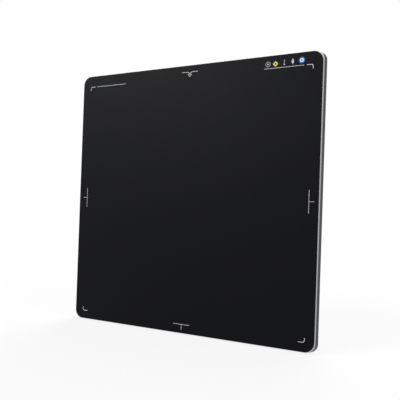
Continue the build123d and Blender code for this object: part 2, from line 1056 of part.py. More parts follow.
def make_contact_blades():
    """Blades that stand out of the contact block towards the battery's terminals."""
    low = battery_z + battery_height / 2 + running_gap
    high = contact_block_top - contact_block_length / 2
    front = contact_depth - contact_height / 2
    back = contact_depth + contact_height / 2
    width = contact_width / 2
    return group(slab(width, high - low, front, back, x=x, z=(low + high) / 2) for x in terminal_places())


# Sliding locks


def make_battery_lock():
    """Right-hand lock, released: a thumb pad on a flange with a tongue towards the battery."""
    lock = lock_sizes()
    front = lock_flange_depth
    back = lock_flange_back
    pad_back = panel_thickness - lock_pad_sink
    groove_front = pad_back - lock_groove_depth
    slider = between(lock["flange_start"], lock["flange_end"], lock_flange_width, front, back, battery_z)
    slider += between(lock["tip"], lock["flange_start"], lock_tongue_width, front, back, battery_z)
    slider += between(lock["pad_start"], lock["pad_end"], lock_pad_width, back, pad_back, battery_z)
    middle = (lock["pad_start"] + lock["pad_end"]) / 2
    for x in spread(lock_groove_count, 2 * lock_groove_width):
        slider -= slab(lock_groove_width, lock_pad_width, groove_front, pad_back, x=middle + x, z=battery_z)
    return slider


def make_lock_retainers():
    lock = lock_sizes()
    post_width = 2 * retainer_post_radius
    height = lock_flange_width + 2 * (running_gap + post_width)
    start = lock["wall"] + bond_gap
    plate = between(start, lock["flange_end"], height, retainer_depth, retainer_back, battery_z)
    for x, z in retainer_post_places():
        plate -= post(lock_screw_radius + thread_gap, retainer_depth, retainer_back, x, z)
    return group(both_sides(plate))


def make_lock_screws():
    screws = []
    for x, z in retainer_post_places():
        screw = post(lock_screw_radius, retainer_depth, retainer_back + lock_screw_bite, x, z)
        head_front = retainer_depth - lock_screw_head_height
        screw += post(lock_screw_head_radius, head_front, retainer_depth, x, z)
        screws += both_sides(screw)
    return group(screws)


# Port, button and status light in the left-hand edge


def port_face():
    """Distance from the panel's centre to the port's face."""
    slope = housing_flare / (panel_thickness - rim_height - bezel_depth)
    lean = slope * (edge_part_depth - bezel_depth)
    return bezel_back_size / 2 + lean - port_recess


def port_inner():
    return inner_size / 2 - port_body_length


def make_tether_shell():
    width = port_width - 2 * bond_gap
    height = port_height - 2 * bond_gap
    wall = inner_size / 2
    shell = edge_bar(width, height, port_face(), wall, port_z, radius=round_end(height))
    shell += edge_bar(
        port_width + 2 * port_flange,
        port_height + 2 * port_flange_height,
        wall,
        wall - port_flange_thickness,
        port_z,
        radius=flange_corner,
    )
    shell += edge_bar(width, height, wall - port_flange_thickness, port_inner(), port_z)
    for contact in make_tether_contacts().solids() + make_tether_magnets().solids():
        shell -= contact
    return shell


def make_tether_contacts():
    outer = port_face() + port_contact_proud
    places = spread(port_contact_count, port_contact_pitch)
    return group(edge_pin(port_contact_radius, outer, port_inner(), port_z + z) for z in places)


def make_tether_magnets():
    outer = port_face()
    places = spread(2, magnet_spacing)
    return group(edge_pin(magnet_radius, outer, outer - magnet_length, port_z + z) for z in places)


def edge_board(inner, low, high):
    """Small board that stands on the rear skin, square to it."""
    middle = (edge_board_depth + skin_depth) / 2
    height = skin_depth - edge_board_depth
    outer = inner + edge_board_thickness
    return edge_bar(high - low, height, outer, inner, (low + high) / 2, depth=middle)


def make_port_board():
    inner = port_inner() - edge_board_thickness
    return edge_board(inner, port_z - port_board_height / 2, port_z + port_board_height / 2)


def make_side_board():
    return edge_board(edge_board_inner(), *side_board_ends())


def make_button_switch():
    board_face = edge_board_inner() + edge_board_thickness
    body_top = board_face + switch_length
    switch = edge_bar(switch_width, switch_height, body_top, board_face, button_z)
    return switch + edge_pin(plunger_radius, body_top + plunger_length, body_top, button_z)


def make_status_lights():
    board_face = edge_board_inner() + edge_board_thickness
    top = board_face + light_chip_thickness
    places = spread(light_count, light_pitch)
    return group(edge_bar(light_chip_size, light_chip_size, top, board_face, light_z + z) for z in places)


def make_light_guide():
    """Clear bar from the status lights to the outside of the edge."""
    width = light_width - 2 * bond_gap
    height = light_height - 2 * bond_gap
    inner = edge_board_inner() + edge_board_thickness + light_chip_thickness + bond_gap
    outer = port_face() + port_recess - light_sink
    return edge_bar(width, height, outer, inner, light_z, radius=round_end(height))


def make_power_button():
    """Cap in the edge, with a flange behind the wall that keeps it in."""
    wall = inner_size / 2
    width = button_width - 2 * running_gap
    height = button_height - 2 * running_gap
    outer = port_face() + port_recess + button_proud
    cap = edge_bar(width, height, outer, wall - running_gap, button_z, radius=round_end(height))
    flange_outer = wall - running_gap
    return cap + edge_bar(
        width + 2 * button_flange,
        height + button_flange,
        flange_outer,
        flange_outer - button_flange_thickness,
        button_z,
        radius=flange_corner,
    )


def make_all():
    """Every node by name."""
    nodes = {
        "front_plate": make_front_plate(),
        "front_bezel": make_front_bezel(),
        "seal_gasket": make_seal_gasket(),
        "rear_housing": make_rear_housing(),
        "edge_screws": make_edge_screws(),
        "id_plate": make_id_plate(),
        "foam_pad": make_foam_pad(),
        "scintillator_panel": make_scintillator_panel(),
        "tft_glass_panel": make_tft_glass_panel(),
        "lead_shield": make_lead_shield(),
        "support_plate": make_support_plate(),
        "support_pillars": make_support_pillars(),
        "pillar_screws": make_pillar_screws(),
        "board_standoffs": make_board_standoffs(),
        "board_screws": make_board_screws(),
        "main_chips": make_main_chips(),
        "heat_pad": make_heat_pad(),
        "power_parts": make_power_parts(),
        "wireless_can": make_wireless_can(),
        "readout_flexes": make_readout_flexes(),
        "gate_flexes": make_gate_flexes(),
        "board_cables": make_board_cables(),
        "antenna_left": make_antenna(-antenna_x),
        "antenna_right": make_antenna(antenna_x),
        "antenna_window_left": make_antenna_window(-antenna_x),
        "antenna_window_right": make_antenna_window(antenna_x),
        "battery_casing": make_battery_casing(),
        "battery_lid": make_battery_lid(),
        "battery_cells": make_battery_cells(),
        "battery_board": make_battery_board(),
        "battery_terminals": make_battery_terminals(),
        "bay_seal": bay_seal_ring(),
        "contact_block": make_contact_block(),
        "contact_blades": make_contact_blades(),
        "battery_lock_right": make_battery_lock(),
        "battery_lock_left": mirror(make_battery_lock(), about=Plane.YZ),
        "lock_retainers": make_lock_retainers(),
        "lock_screws": make_lock_screws(),
        "tether_shell": make_tether_shell(),
        "tether_contacts": make_tether_contacts(),
        "tether_magnets": make_tether_magnets(),
        "port_board": make_port_board(),
        "side_board": make_side_board(),
        "button_switch": make_button_switch(),
        "status_lights": make_status_lights(),
        "light_guide": make_light_guide(),
        "power_button": make_power_button(),
    }
    for name in board_places():
        nodes[name] = make_board(name)
    return nodes


os.makedirs("parts", exist_ok=True)
for node, shape in make_all().items():
    export_step(shape, f"parts/{node}.step")
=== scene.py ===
"""Looks of a cassette-size flat panel x-ray detector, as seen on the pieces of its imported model.

The panel stands upright. X is to the right as seen from the front, Z is up, and the imaging
side faces -Y. The origin is the centre of the flat rear plane. Lengths are in metres.
"""

import math

import bmesh
import bpy
from mathutils import Matrix, Vector


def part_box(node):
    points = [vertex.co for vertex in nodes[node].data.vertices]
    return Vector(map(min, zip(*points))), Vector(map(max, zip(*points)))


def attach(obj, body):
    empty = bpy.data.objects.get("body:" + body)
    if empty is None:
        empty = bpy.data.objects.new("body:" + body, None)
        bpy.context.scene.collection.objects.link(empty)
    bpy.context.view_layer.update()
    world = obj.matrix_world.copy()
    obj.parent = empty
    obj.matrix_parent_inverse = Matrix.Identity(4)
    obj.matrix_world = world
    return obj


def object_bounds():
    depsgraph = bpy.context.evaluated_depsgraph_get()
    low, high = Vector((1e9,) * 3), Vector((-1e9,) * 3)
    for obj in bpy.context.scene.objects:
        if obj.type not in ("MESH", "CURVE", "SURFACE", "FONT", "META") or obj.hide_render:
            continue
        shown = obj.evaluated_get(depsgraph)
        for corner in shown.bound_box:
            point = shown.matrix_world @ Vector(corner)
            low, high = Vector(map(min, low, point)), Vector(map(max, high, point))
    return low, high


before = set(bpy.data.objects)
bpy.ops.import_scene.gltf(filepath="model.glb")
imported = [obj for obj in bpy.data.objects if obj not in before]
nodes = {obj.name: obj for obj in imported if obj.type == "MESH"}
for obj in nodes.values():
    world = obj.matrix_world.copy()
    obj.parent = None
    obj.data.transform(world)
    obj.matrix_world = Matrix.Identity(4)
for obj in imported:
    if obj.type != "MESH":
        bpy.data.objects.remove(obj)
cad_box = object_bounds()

# Camera and studio
# The panel is seen from the front right on plain white. The floor is pale and lies at the
# panel's lower edge. Soft lamps stand at the left, the right and behind.

camera_place = (0.40846, -0.76427, -0.02652)
camera_turn = math.radians(26.86)
camera_pitch = math.radians(90.562)
camera_roll = math.radians(2.005)
camera_lens = 45.17
camera_sensor = 36.0
camera_shift_up = 0.0252

camera_data = bpy.data.cameras.new("camera")
camera_data.lens = camera_lens
camera_data.sensor_width = camera_sensor
camera_data.shift_y = camera_shift_up
camera = bpy.data.objects.new("camera", camera_data)
aim = Matrix.Rotation(camera_turn, 4, "Z") @ Matrix.Rotation(camera_pitch, 4, "X")
camera.matrix_world = Matrix.Translation(camera_place) @ aim @ Matrix.Rotation(camera_roll, 4, "Z")
bpy.context.scene.collection.objects.link(camera)
bpy.context.scene.camera = camera
bpy.context.scene.view_settings.view_transform = "Standard"


def softbox(name, place, size, power, target=(0.0, 0.0, 0.0)):
    """Square lamp that faces a point of the panel."""
    lamp_data = bpy.data.lights.new(name, "AREA")
    lamp_data.size = size
    lamp_data.energy = power
    lamp = bpy.data.objects.new(name, lamp_data)
    lamp.location = place
    lamp.rotation_euler = (Vector(target) - Vector(place)).to_track_quat("-Z", "Y").to_euler()
    bpy.context.scene.collection.objects.link(lamp)


softbox("key_lamp", (-1.15, -1.80, 1.25), size=1.4, power=32.0)
softbox("right_lamp", (1.7, -0.5, 0.9), size=1.2, power=13.0)
softbox("rear_lamp", (-0.3, 1.9, 1.5), size=1.4, power=30.0)


def feed(tree, socket, value):
    """Links a socket to an input, or writes a plain value on it."""
    if isinstance(value, bpy.types.NodeSocket):
        tree.links.new(value, socket)
    else:
        socket.default_value = value


def sum_up(tree, operation, *values, clamp=False):
    """Result of a Math node."""
    step = tree.nodes.new("ShaderNodeMath")
    step.operation = operation
    step.use_clamp = clamp
    for socket, value in zip(step.inputs, values):
        feed(tree, socket, value)
    return step.outputs[0]


def fade(tree, value, start, end, first, last):
    """Smooth change from the first to the last number as a value goes from start to end."""
    step = tree.nodes.new("ShaderNodeMapRange")
    step.interpolation_type = "SMOOTHSTEP"
    names = ("Value", "From Min", "From Max", "To Min", "To Max")
    for name, given in zip(names, (value, start, end, first, last)):
        feed(tree, step.inputs[name], given)
    return step.outputs["Result"]


def sees_backdrop(tree):
    """One for the rays that look at the backdrop: seen directly, in metal or through plastic."""
    path = tree.nodes.new("ShaderNodeLightPath").outputs
    direct = sum_up(tree, "MAXIMUM", path["Is Camera Ray"], path["Is Glossy Ray"])
    return sum_up(tree, "MAXIMUM", direct, path["Is Transmission Ray"])


def mix_shaders(tree, share, first, second, output):
    """Shows the second shader where the share is one."""
    mix = tree.nodes.new("ShaderNodeMixShader")
    for socket, source in zip(mix.inputs, (share, first, second)):
        tree.links.new(source, socket)
    tree.links.new(mix.outputs[0], output.inputs["Surface"])


world_light = 0.48
backdrop_white = 1.0

world = bpy.data.worlds.new("studio")
world.use_nodes = True
studio = world.node_tree
room_light = studio.nodes["Background"]
room_light.inputs["Color"].default_value = (1, 1, 1, 1)
room_light.inputs["Strength"].default_value = world_light
backdrop = studio.nodes.new("ShaderNodeBackground")
backdrop.inputs["Color"].default_value = (1, 1, 1, 1)
backdrop.inputs["Strength"].default_value = backdrop_white
mix_shaders(
    studio, sees_backdrop(studio), room_light.outputs[0], backdrop.outputs[0], studio.nodes["World Output"]
)
bpy.context.scene.world = world

floor_size = 12.0
floor_white = 0.86
near_glow = 0.80
glow_start = 0.35
glow_end = 1.5

floor_mesh = bpy.data.meshes.new("floor")
floor_shape = bmesh.new()
bmesh.ops.create_grid(floor_shape, x_segments=1, y_segments=1, size=floor_size)
bmesh.ops.translate(floor_shape, verts=floor_shape.verts, vec=(0, 0, cad_box[0].z))
floor_shape.to_mesh(floor_mesh)
floor_shape.free()
floor = bpy.data.objects.new("floor", floor_mesh)
bpy.context.scene.collection.objects.link(floor)
floor_finish = bpy.data.materials.new("floor_finish")
floor_finish.use_nodes = True
floor_tree = floor_finish.node_tree
floor_paint = floor_tree.nodes["Principled BSDF"]
floor_paint.inputs["Base Color"].default_value = (floor_white, floor_white, floor_white, 1)
floor_paint.inputs["Roughness"].default_value = 1.0
floor_paint.inputs["Specular IOR Level"].default_value = 0.0
glow = floor_tree.nodes.new("ShaderNodeEmission")
glow.inputs["Strength"].default_value = backdrop_white
distance = floor_tree.nodes.new("ShaderNodeVectorMath")
distance.operation = "LENGTH"
floor_place = floor_tree.nodes.new("ShaderNodeTexCoord").outputs["Object"]
floor_tree.links.new(floor_place, distance.inputs[0])
glow_share = fade(floor_tree, distance.outputs["Value"], glow_start, glow_end, near_glow, backdrop_white)
glow_share = sum_up(floor_tree, "MULTIPLY", glow_share, sees_backdrop(floor_tree))
mix_shaders(
    floor_tree, glow_share, floor_paint.outputs[0], glow.outputs[0], floor_tree.nodes["Material Output"]
)
floor_mesh.materials.append(floor_finish)

# Front plate
# A sheet of carbon fibre under a satin black film, bonded into the front frame. The film has a
# fine orange peel that softens what it reflects.


def new_group(name, given, results):
    """Shader node group with named inputs and outputs, each with its kind of socket."""
    tree = bpy.data.node_groups.new(name, "ShaderNodeTree")
    for way, sockets in (("INPUT", given), ("OUTPUT", results)):
        for socket, kind in sockets.items():
            tree.interface.new_socket(socket, in_out=way, socket_type="NodeSocket" + kind)
    return tree, tree.nodes.new("NodeGroupInput").outputs, tree.nodes.new("NodeGroupOutput").inputs


def noise(tree, place, scale, detail):
    """Noise between 0 and 1, with its scale in grains per metre."""
    texture = tree.nodes.new("ShaderNodeTexNoise")
    for name, value in (("Vector", place), ("Scale", scale), ("Detail", detail)):
        feed(tree, texture.inputs[name], value)
    return texture.outputs["Fac"]


cloud_fineness = 22.0


def make_grain_group():
    """Mottled colour, roughness and height of a painted, moulded or blasted surface."""
    tree, given, result = new_group(
        "surface_grain",
        {
            "Place": "Vector",
            "Colour": "Color",
            "Shade": "Float",
            "Roughness": "Float",
            "Spread": "Float",
            "Fineness": "Float",
        },
        {"Colour": "Color", "Roughness": "Float", "Height": "Float"},
    )
    cloud = noise(tree, given["Place"], cloud_fineness, 3.0)
    grain = noise(tree, given["Place"], given["Fineness"], 2.0)
    swing = sum_up(tree, "SUBTRACT", sum_up(tree, "ADD", cloud, grain), 1.0)
    tinted = tree.nodes.new("ShaderNodeVectorMath")
    tinted.operation = "SCALE"
    tree.links.new(given["Colour"], tinted.inputs[0])
    tree.links.new(sum_up(tree, "MULTIPLY_ADD", swing, given["Shade"], 1.0), tinted.inputs["Scale"])
    roughness = sum_up(tree, "MULTIPLY_ADD", swing, given["Spread"], given["Roughness"], clamp=True)
    for name, value in (("Colour", tinted.outputs[0]), ("Roughness", roughness), ("Height", grain)):
        tree.links.new(value, result[name])
    return tree


surface_grain = make_grain_group()


def add_group(tree, group, values):
    """Places a group in a material with its own values, and gives its outputs."""
    step = tree.nodes.new("ShaderNodeGroup")
    step.node_tree = group
    for name, value in values.items():
        feed(tree, step.inputs[name], value)
    return step.outputs


def start_finish(name, metallic=0.0, specular=0.5):
    """New material, with its tree, its shader and the place on the piece."""
    finish = bpy.data.materials.new(name)
    finish.use_nodes = True
    tree = finish.node_tree
    shader = tree.nodes["Principled BSDF"]
    shader.inputs["Metallic"].default_value = metallic
    shader.inputs["Specular IOR Level"].default_value = specular
    return finish, tree, shader, tree.nodes.new("ShaderNodeTexCoord").outputs["Object"]


def end_finish(tree, shader, colour, roughness, height, bump):
    """Feeds a shader its colour and roughness, and a relief of some depth in metres."""
    relief = tree.nodes.new("ShaderNodeBump")
    relief.inputs["Distance"].default_value = bump
    tree.links.new(height, relief.inputs["Height"])
    tree.links.new(colour, shader.inputs["Base Color"])
    tree.links.new(roughness, shader.inputs["Roughness"])
    tree.links.new(relief.outputs["Normal"], shader.inputs["Normal"])


def stretched(tree, place, stretch):
    """Place drawn out along an axis, for brushed or rolled surfaces."""
    mapping = tree.nodes.new("ShaderNodeMapping")
    mapping.inputs["Scale"].default_value = stretch
    tree.links.new(place, mapping.inputs["Vector"])
    return mapping.outputs[0]


def mix_colours(tree, share, first, second):
    """Mixes two colours."""
    mix = tree.nodes.new("ShaderNodeMix")
    mix.data_type = "RGBA"
    colour_inputs = [socket for socket in mix.inputs if socket.type == "RGBA"]
    feed(tree, mix.inputs[0], share)
    for socket, value in zip(colour_inputs, (first, second)):
        feed(tree, socket, value)
    return [socket for socket in mix.outputs if socket.type == "RGBA"][0]


def finish_of(
    name,
    colour,
    roughness,
    shade,
    spread,
    fineness,
    bump,
    metallic=0.0,
    specular=0.5,
    stretch=None,
    rim_wear_and_highlight=None,
):
    """Material with grain. Fineness is grains per metre, and bump is the grain's height in metres.

    Shade and spread are how much colour and roughness vary. Stretch draws the grain out. The rim
    entry gives a lighter edge, worn on some pieces and a painted highlight on the front frame: its
    mask's values, its colour, and what it adds to the roughness.
    """
    finish, tree, shader, place = start_finish(name, metallic, specular)
    grain_place = stretched(tree, place, stretch) if stretch else place
    values = {
        "Place": grain_place,
        "Colour": (*colour, 1),
        "Shade": shade,
        "Roughness": roughness,
        "Spread": spread,
        "Fineness": fineness,
    }
    grain = add_group(tree, surface_grain, values)
    seen_colour, seen_roughness = grain["Colour"], grain["Roughness"]
    if rim_wear_and_highlight:
        mask = add_group(tree, edge_wear_and_highlight, {"Place": place, **rim_wear_and_highlight["edge"]})["Mask"]
        seen_colour = mix_colours(tree, mask, seen_colour, (*rim_wear_and_highlight["colour"], 1))
        seen_roughness = sum_up(tree, "MULTIPLY_ADD", mask, rim_wear_and_highlight["roughness"], seen_roughness)
    end_finish(tree, shader, seen_colour, seen_roughness, grain["Height"], bump)
    return finish


def dress(finish, *names):
    """Gives a material to CAD nodes."""
    for name in names:
        nodes[name].data.materials.clear()
        nodes[name].data.materials.append(finish)


film_black = (0.0018, 0.0020, 0.0030)
carbon_film = finish_of(
    "carbon_film", film_black, 0.46, shade=0.10, spread=0.06, fineness=900.0, bump=0.000004, specular=0.082
)
dress(carbon_film, "front_plate")

# Printed marks of the imaging field
# Screen-printed in light grey ink on the film: a rounded corner at each corner of the field, a T
# at the middle of three sides, an arrow at the top, and a line near each upper corner. The signs
# stand above the right-hand line, and the strip above the left-hand one is bare.

front_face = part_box("front_plate")[0].y
ink_thickness = 0.00004
ink_width = 0.0010
line_width = 0.00075
arrow_width = 0.0009
field_left = -0.2105
field_right = 0.2125
field_top = 0.2077
field_bottom = -0.2129
corner_arm = 0.0100
corner_leg = 0.0068
corner_bend = 0.0034
bend_steps = 5
side_width = 0.00066
side_bar_half = 0.0180
side_tick = 0.0084
side_middle = -0.0007
foot_width = 0.0008
foot_middle = 0.0008
foot_bar_half = 0.0154
foot_tick = 0.0091
arrow_height = 0.2164
arrow_middle = 0.0005
arrow_bar_half = 0.0151
notch_half = 0.0038
notch_drop = 0.0027
arrow_base = 0.2124
arrow_half = 0.0034
arrow_tip = 0.2086
left_line = (-0.1970, -0.1319)
right_line = (0.1339, 0.1983)
least_mitre = 0.3


def stroke(shape, path, width=ink_width, closed=False, face=front_face):
    """Flat printed line of one width along a path of (x, z) points, just proud of a face."""
    points = [Vector((x, z)) for x, z in path]
    count = len(points)
    inner, outer = [], []
    for index, point in enumerate(points):
        before = points[index - 1] if closed or index else None
        after = points[(index + 1) % count] if closed or index < count - 1 else None
        ways = [(b - a).normalized() for a, b in ((before, point), (point, after)) if a and b]
        way = sum(ways, Vector((0, 0))).normalized()
        side = Vector((-way.y, way.x))
        reach = width / 2 / max(least_mitre, side.dot(Vector((-ways[0].y, ways[0].x))))
        for row, sign in ((inner, 1), (outer, -1)):
            spot = point + sign * reach * side
            row.append(shape.verts.new((spot.x, face, spot.y)))
    for index in range(count if closed else count - 1):
        follow = (index + 1) % count
        shape.faces.new((inner[index], inner[follow], outer[follow], outer[index]))


def bend(centre, radius, start, end, steps=bend_steps):
    """Points of an arc about a centre, from one angle to another in degrees."""
    angles = [math.radians(start + (end - start) * step / steps) for step in range(steps + 1)]
    return [(centre[0] + radius * math.cos(a), centre[1] + radius * math.sin(a)) for a in angles]


def disc_outline(centre, radius, sides):
    """Corners of a regular shape that stands on a point."""
    return bend(centre, radius, -90, 270, sides)[:-1]


def blob(shape, outline, face=front_face):
    """Flat printed patch."""
    shape.faces.new([shape.verts.new((x, face, z)) for x, z in outline])


def print_piece(name, shape, finish, body, towards=-1, thickness=ink_thickness, turn=0.0):
    """Makes a piece of a flat print, with the ink's thickness and its normals outward.

    It may then be turned about the vertical, to lie on a side face.
    """
    risen = bmesh.ops.extrude_face_region(shape, geom=list(shape.faces))["geom"]
    top = [item for item in risen if isinstance(item, bmesh.types.BMVert)]
    bmesh.ops.translate(shape, verts=top, vec=(0, towards * thickness, 0))
    bmesh.ops.rotate(shape, verts=shape.verts, cent=(0, 0, 0), matrix=Matrix.Rotation(turn, 3, "Z"))
    bmesh.ops.recalc_face_normals(shape, faces=shape.faces)
    mesh = bpy.data.meshes.new(name)
    shape.to_mesh(mesh)
    shape.free()
    mesh.materials.append(finish)
    piece = bpy.data.objects.new(name, mesh)
    bpy.context.scene.collection.objects.link(piece)
    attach(piece, body)


def corner_mark(x, z, right, up):
    """Rounded corner of the field. Right and up point from it into the field, as 1 or -1."""
    start = 180 if right > 0 else 0
    end = 90 if up < 0 else 270
    if right < 0 and up > 0:
        end = -90
    arc = bend((x + right * corner_bend, z + up * corner_bend), corner_bend, start, end)
    return [(x, z + up * corner_leg), *arc, (x + right * corner_arm, z)]


def ink_of(name, colour):
    """Matt screen-printing ink."""
    return finish_of(
        name, colour, 0.5, shade=0.08, spread=0.05, fineness=2500.0, bump=0.000002, specular=0.15
    )


grey_ink = ink_of("grey_ink", (0.48, 0.48, 0.49))

marks = bmesh.new()
for x, right in ((field_left, 1), (field_right, -1)):
    for z, up in ((field_top, -1), (field_bottom, 1)):
        stroke(marks, corner_mark(x, z, right, up))
    side_bar = [(x, side_middle - side_bar_half), (x, side_middle + side_bar_half)]
    stroke(marks, side_bar, width=side_width)
    tick = [(x - right * side_width / 2, side_middle), (x - right * side_tick, side_middle)]
    stroke(marks, tick, width=side_width)
foot_bar = [(foot_middle - foot_bar_half, field_bottom), (foot_middle + foot_bar_half, field_bottom)]
stroke(marks, foot_bar, width=foot_width)
tick = [(foot_middle, field_bottom - foot_width / 2), (foot_middle, field_bottom - foot_tick)]
stroke(marks, tick, width=foot_width)
arrow_bar = [
    (arrow_middle - arrow_bar_half, arrow_height),
    (arrow_middle - notch_half, arrow_height),
    (arrow_middle, arrow_height - notch_drop),
    (arrow_middle + notch_half, arrow_height),
    (arrow_middle + arrow_bar_half, arrow_height),
]
stroke(marks, arrow_bar, width=arrow_width)
arrow_corners = [
    (arrow_middle - arrow_half, arrow_base),
    (arrow_middle + arrow_half, arrow_base),
    (arrow_middle, arrow_tip),
]
stroke(marks, arrow_corners, width=line_width, closed=True)
for start, end in (left_line, right_line):
    stroke(marks, [(start, field_top), (end, field_top)], width=line_width)
print_piece("field_marks", marks, grey_ink, "panel")

# Signs above the right-hand line
# Five small plain signs in a row, printed on the film: grey, yellow, grey, grey and blue.

sign_width = 0.0006
ring_place = (0.1401, 0.2146)
ring_radius = 0.0041
ring_sides = 6
ring_dot = 0.0014
lozenge_place = (0.1526, 0.2142)
lozenge_radius = 0.0045
lozenge_sides = 4
lozenge_dot = 0.0014
pin_place = (0.1669, 0.2158)
pin_half = 0.0038
pin_foot = 0.0012
kite_place = (0.1803, 0.2153)
kite_half_width = 0.0022
kite_half_height = 0.0047
disc_place = (0.1946, 0.2158)
disc_radius = 0.0050
disc_ring_radius = 0.0031
disc_dot = 0.0013
dot_sides = 16
round_sides = 32

pin_x, pin_z = pin_place
kite_x, kite_z = kite_place
signs = bmesh.new()
stroke(signs, disc_outline(ring_place, ring_radius, ring_sides), width=sign_width, closed=True)
blob(signs, disc_outline(ring_place, ring_dot, dot_sides))
stroke(signs, [(pin_x, pin_z - pin_half + pin_foot), (pin_x, pin_z + pin_half)], width=sign_width)
blob(signs, disc_outline((pin_x, pin_z - pin_half), pin_foot, dot_sides))
blob(
    signs,
    [
        (kite_x - kite_half_width, kite_z),
        (kite_x, kite_z - kite_half_height),
        (kite_x + kite_half_width, kite_z),
        (kite_x, kite_z + kite_half_height),
    ],
)
print_piece("grey_signs", signs, grey_ink, "panel")

yellow_ink = ink_of("yellow_ink", (0.60, 0.57, 0.13))
lozenge = bmesh.new()
blob(lozenge, disc_outline(lozenge_place, lozenge_radius, lozenge_sides))
print_piece("yellow_sign", lozenge, yellow_ink, "panel")

black_ink = ink_of("black_ink", (0.012, 0.012, 0.014))
lozenge_centre = bmesh.new()
blob(lozenge_centre, disc_outline(lozenge_place, lozenge_dot, dot_sides))
print_piece("yellow_sign_dot", lozenge_centre, black_ink, "panel", thickness=2 * ink_thickness)

blue_ink = ink_of("blue_ink", (0.004, 0.125, 0.34))
disc = bmesh.new()
blob(disc, disc_outline(disc_place, disc_radius, round_sides))
print_piece("blue_sign", disc, blue_ink, "panel")

white_ink = ink_of("white_ink", (0.72, 0.73, 0.74))
ring_middle = (disc_ring_radius + disc_dot) / 2
ring_width = disc_ring_radius - disc_dot
disc_ring = bmesh.new()
stroke(disc_ring, disc_outline(disc_place, ring_middle, round_sides), width=ring_width, closed=True)
print_piece("blue_sign_ring", disc_ring, white_ink, "panel", thickness=2 * ink_thickness)

# Front frame
# Machined aluminium, bead-blasted and anodised in silver. Its front rim is a little brighter, partly
# rubbed and partly a painted highlight of the lip. The front plate is bonded into it, and edge screws hold
# it to the rear housing.

rag_fineness = 420.0
patch_fineness = 35.0
patch_border = (0.35, 0.65)
least_patch = 0.25


def make_edge_wear_and_highlight_group():
    """Mask of a lighter rim, worn on some pieces and a painted highlight on others: one on the rim of a
    rounded rectangle and ragged at its border.
    """
    tree, given, result = new_group(
        "edge_wear_and_highlight",
        {
            "Place": "Vector",
            "Middle": "Vector",
            "Half": "Vector",
            "Corner": "Float",
            "Width": "Float",
            "Wear": "Float",
        },
        {"Mask": "Float"},
    )
    offset = tree.nodes.new("ShaderNodeVectorMath")
    offset.operation = "SUBTRACT"
    tree.links.new(given["Place"], offset.inputs[0])
    tree.links.new(given["Middle"], offset.inputs[1])
    apart = tree.nodes.new("ShaderNodeSeparateXYZ")
    tree.links.new(offset.outputs[0], apart.inputs[0])
    half = tree.nodes.new("ShaderNodeSeparateXYZ")
    tree.links.new(given["Half"], half.inputs[0])
    over = {}
    for axis in "XZ":
        reach = sum_up(tree, "SUBTRACT", half.outputs[axis], given["Corner"])
        over[axis] = sum_up(tree, "SUBTRACT", sum_up(tree, "ABSOLUTE", apart.outputs[axis]), reach)
    squares = [sum_up(tree, "POWER", sum_up(tree, "MAXIMUM", over[axis], 0.0), 2.0) for axis in "XZ"]
    round_part = sum_up(tree, "SQRT", sum_up(tree, "ADD", *squares))
    flat_part = sum_up(tree, "MINIMUM", sum_up(tree, "MAXIMUM", over["X"], over["Z"]), 0.0)
    outside = sum_up(tree, "SUBTRACT", sum_up(tree, "ADD", round_part, flat_part), given["Corner"])
    squares = [sum_up(tree, "POWER", side, 2.0) for side in (outside, apart.outputs["Y"])]
    rim_distance = sum_up(tree, "SQRT", sum_up(tree, "ADD", *squares))
    rag = noise(tree, given["Place"], rag_fineness, 3.0)
    patches = noise(tree, given["Place"], patch_fineness, 2.0)
    ragged_width = sum_up(tree, "MULTIPLY", given["Width"], sum_up(tree, "MULTIPLY", rag, 2.0))
    rim = fade(tree, rim_distance, 0.0, ragged_width, 1.0, 0.0)
    patchy = fade(tree, patches, *patch_border, least_patch, 1.0)
    mask = sum_up(tree, "MULTIPLY", sum_up(tree, "MULTIPLY", rim, patchy), given["Wear"])
    tree.links.new(mask, result["Mask"])
    return tree


edge_wear_and_highlight = make_edge_wear_and_highlight_group()


def rim_of(node, corner, at_back, width, amount):
    """Values of the lighter rim at the front or the back of a node: wear on some pieces, a painted
    highlight on the front frame.
    """
    low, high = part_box(node)
    middle = (low + high) / 2
    rim_depth = high.y if at_back else low.y
    half = (high - low) / 2
    return {
        "Middle": (middle.x, rim_depth, middle.z),
        "Half": tuple(half),
        "Corner": corner,
        "Width": width,
        "Wear": amount,
    }


outer_corner = 0.0141
silver_anodised = finish_of(
    "silver_anodised",
    (0.40, 0.40, 0.41),
    0.55,
    shade=0.10,
    spread=0.06,
    fineness=5200.0,
    bump=0.000003,
    metallic=1.0,
    # The front rim's lighter colour is partly rubbing and partly a painted highlight of the frame's lip.
    rim_wear_and_highlight={
        "edge": rim_of("front_bezel", outer_corner, at_back=False, width=0.0004, amount=0.25),
        "colour": (0.43, 0.43, 0.44),
        "roughness": 0.02,
    },
)
dress(silver_anodised, "front_bezel")

# Seals
# Black rubber cords: one between the front frame and the housing, one round the battery bay.

seal_rubber = finish_of(
    "seal_rubber", (0.012, 0.012, 0.013), 0.75, shade=0.2, spread=0.1, fineness=1800.0, bump=0.00001
)
dress(seal_rubber, "seal_gasket", "bay_seal")

# Rear housing
# Die-cast magnesium, milled and coated with a dark grey textured paint. It is one tub with the
# battery bay, two grip recesses and the pockets for the label and the antenna windows.

textured_paint = finish_of(
    "textured_paint",
    (0.031, 0.032, 0.035),
    0.55,
    shade=0.16,
    spread=0.14,
    fineness=2600.0,
    bump=0.00004,
    specular=0.26,
    rim_wear_and_highlight={
        "edge": rim_of("rear_housing", outer_corner, at_back=True, width=0.0010, amount=0.45),
        "colour": (0.13, 0.13, 0.135),
        "roughness": -0.15,
    },
)
dress(textured_paint, "rear_housing")

# Padlock signs beside the sliding locks
# Printed on the housing in light grey: closed at the battery's side of each lock's window, and
# open at the far side.

